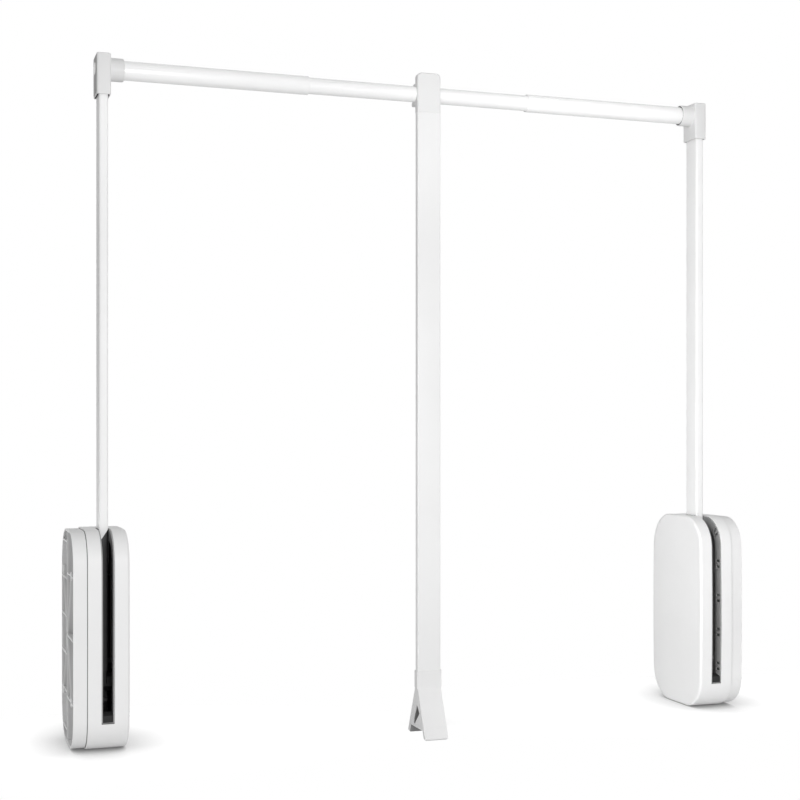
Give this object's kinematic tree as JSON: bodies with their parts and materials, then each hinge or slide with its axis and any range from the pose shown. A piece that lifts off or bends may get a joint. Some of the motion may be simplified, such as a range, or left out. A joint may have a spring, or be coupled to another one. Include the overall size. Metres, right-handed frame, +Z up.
{
  "type": "pull-down closet rod",
  "caption": "Wardrobe lift: telescopic hanging rail on two swinging arms from slotted wall housings, lowered with a flat pull handle that hangs from the rail.",
  "frame": {"origin": "centre of the left housing's four wall screw holes, on the wall plane", "axes": "+X along the rail from the left wall to the right wall, +Y to the back of the wardrobe, +Z up"},
  "size_m": [0.961, 0.15, 0.9224],
  "materials": {
    "housing_base_plastic": "moulded plastic, fine grain",
    "housing_cover_plastic": "moulded plastic, satin",
    "zinc_screw_steel": "zinc plated",
    "black_coated_steel": "black e-coat",
    "axle_steel": "ground",
    "black_cast_metal": "black coated casting",
    "arm_powder_coat": "white powder coat",
    "pin_steel": "plain",
    "rack_plastic": "glass filled nylon",
    "spring_steel": "oil tempered",
    "damper_steel": "black paint",
    "buffer_rubber": "moulded",
    "head_plastic": "moulded plastic, light grey white",
    "head_cap_plastic": "moulded plastic",
    "rail_enamel": "white enamel, semi-gloss",
    "rail_enamel_inner": "white enamel, semi-gloss",
    "handle_plastic": "moulded plastic, satin",
    "bar_powder_coat": "white powder coat"
  },
  "bodies": {
    "left_unit": {"left_base": "housing_base_plastic", "left_cover": "housing_cover_plastic", "left_cover_screws": "zinc_screw_steel", "left_bracket": "black_coated_steel", "left_bracket_screws": "zinc_screw_steel", "left_pivot_axle": "axle_steel", "left_damper_cylinder": "damper_steel", "left_damper_clamps": "black_coated_steel", "left_rest_buffer": "buffer_rubber", "left_stop_buffer": "buffer_rubber"},
    "left_arm": {"left_hub_gear": "black_cast_metal", "left_arm_tube": "arm_powder_coat", "left_arm_pin": "pin_steel", "left_head_block": "head_plastic", "left_head_cap": "head_cap_plastic", "left_outer_tube": "rail_enamel"},
    "left_rack": {"left_rack": "rack_plastic", "left_lift_spring": "spring_steel", "left_damper_rod": "axle_steel"},
    "inner_rail": {"inner_tube": "rail_enamel_inner"},
    "right_arm": {"right_hub_gear": "black_cast_metal", "right_arm_tube": "arm_powder_coat", "right_arm_pin": "pin_steel", "right_head_block": "head_plastic", "right_head_cap": "head_cap_plastic", "right_outer_tube": "rail_enamel"},
    "right_unit": {"right_base": "housing_base_plastic", "right_cover": "housing_cover_plastic", "right_cover_screws": "zinc_screw_steel", "right_bracket": "black_coated_steel", "right_bracket_screws": "zinc_screw_steel", "right_pivot_axle": "axle_steel", "right_damper_cylinder": "damper_steel", "right_damper_clamps": "black_coated_steel", "right_rest_buffer": "buffer_rubber", "right_stop_buffer": "buffer_rubber"},
    "right_rack": {"right_rack": "rack_plastic", "right_lift_spring": "spring_steel", "right_damper_rod": "axle_steel"},
    "handle": {"handle_head": "handle_plastic", "handle_bar": "bar_powder_coat", "handle_grip": "handle_plastic", "handle_screws": "zinc_screw_steel"}
  },
  "joints": [
    {"name": "lift_swing", "type": "hinge", "parent": "left_unit", "child": "left_arm", "pos_m": [0.043, -0.018, -0.062], "axis": [1, 0, 0], "range_deg": [0, 105], "stiffness_Nm_per_rad": 12, "springref_deg": -28.65},
    {"name": "left_rack_slide", "type": "slide", "parent": "left_unit", "child": "left_rack", "axis": [0, 0, 1], "range_m": [0, 0.04418], "deforming": ["left_lift_spring"]},
    {"name": "rail_extend", "type": "slide", "parent": "left_arm", "child": "right_arm", "axis": [1, 0, 0], "range_m": [-0.131, 0.189]},
    {"name": "inner_rail_slide", "type": "slide", "parent": "left_arm", "child": "inner_rail", "axis": [1, 0, 0], "range_m": [-0.066, 0.095]},
    {"name": "right_unit_swing", "type": "hinge", "parent": "right_arm", "child": "right_unit", "pos_m": [0.918, -0.018, -0.062], "axis": [1, 0, 0], "range_deg": [-105, 0]},
    {"name": "right_rack_slide", "type": "slide", "parent": "right_unit", "child": "right_rack", "axis": [0, 0, 1], "range_m": [0, 0.04418], "deforming": ["right_lift_spring"]},
    {"name": "handle_swing", "type": "hinge", "parent": "inner_rail", "child": "handle", "pos_m": [0.4895, -0.018, 0.734], "axis": [-1, 0, 0], "range_deg": [-30, 105]}
  ],
  "couplings": [
    {"joint": "left_rack_slide", "follows": "lift_swing", "m_per_rad": 0.024},
    {"joint": "right_unit_swing", "follows": "lift_swing", "ratio": -1},
    {"joint": "right_rack_slide", "follows": "lift_swing", "m_per_rad": 0.024},
    {"joint": "inner_rail_slide", "follows": "rail_extend", "ratio": 0.5}
  ]
}
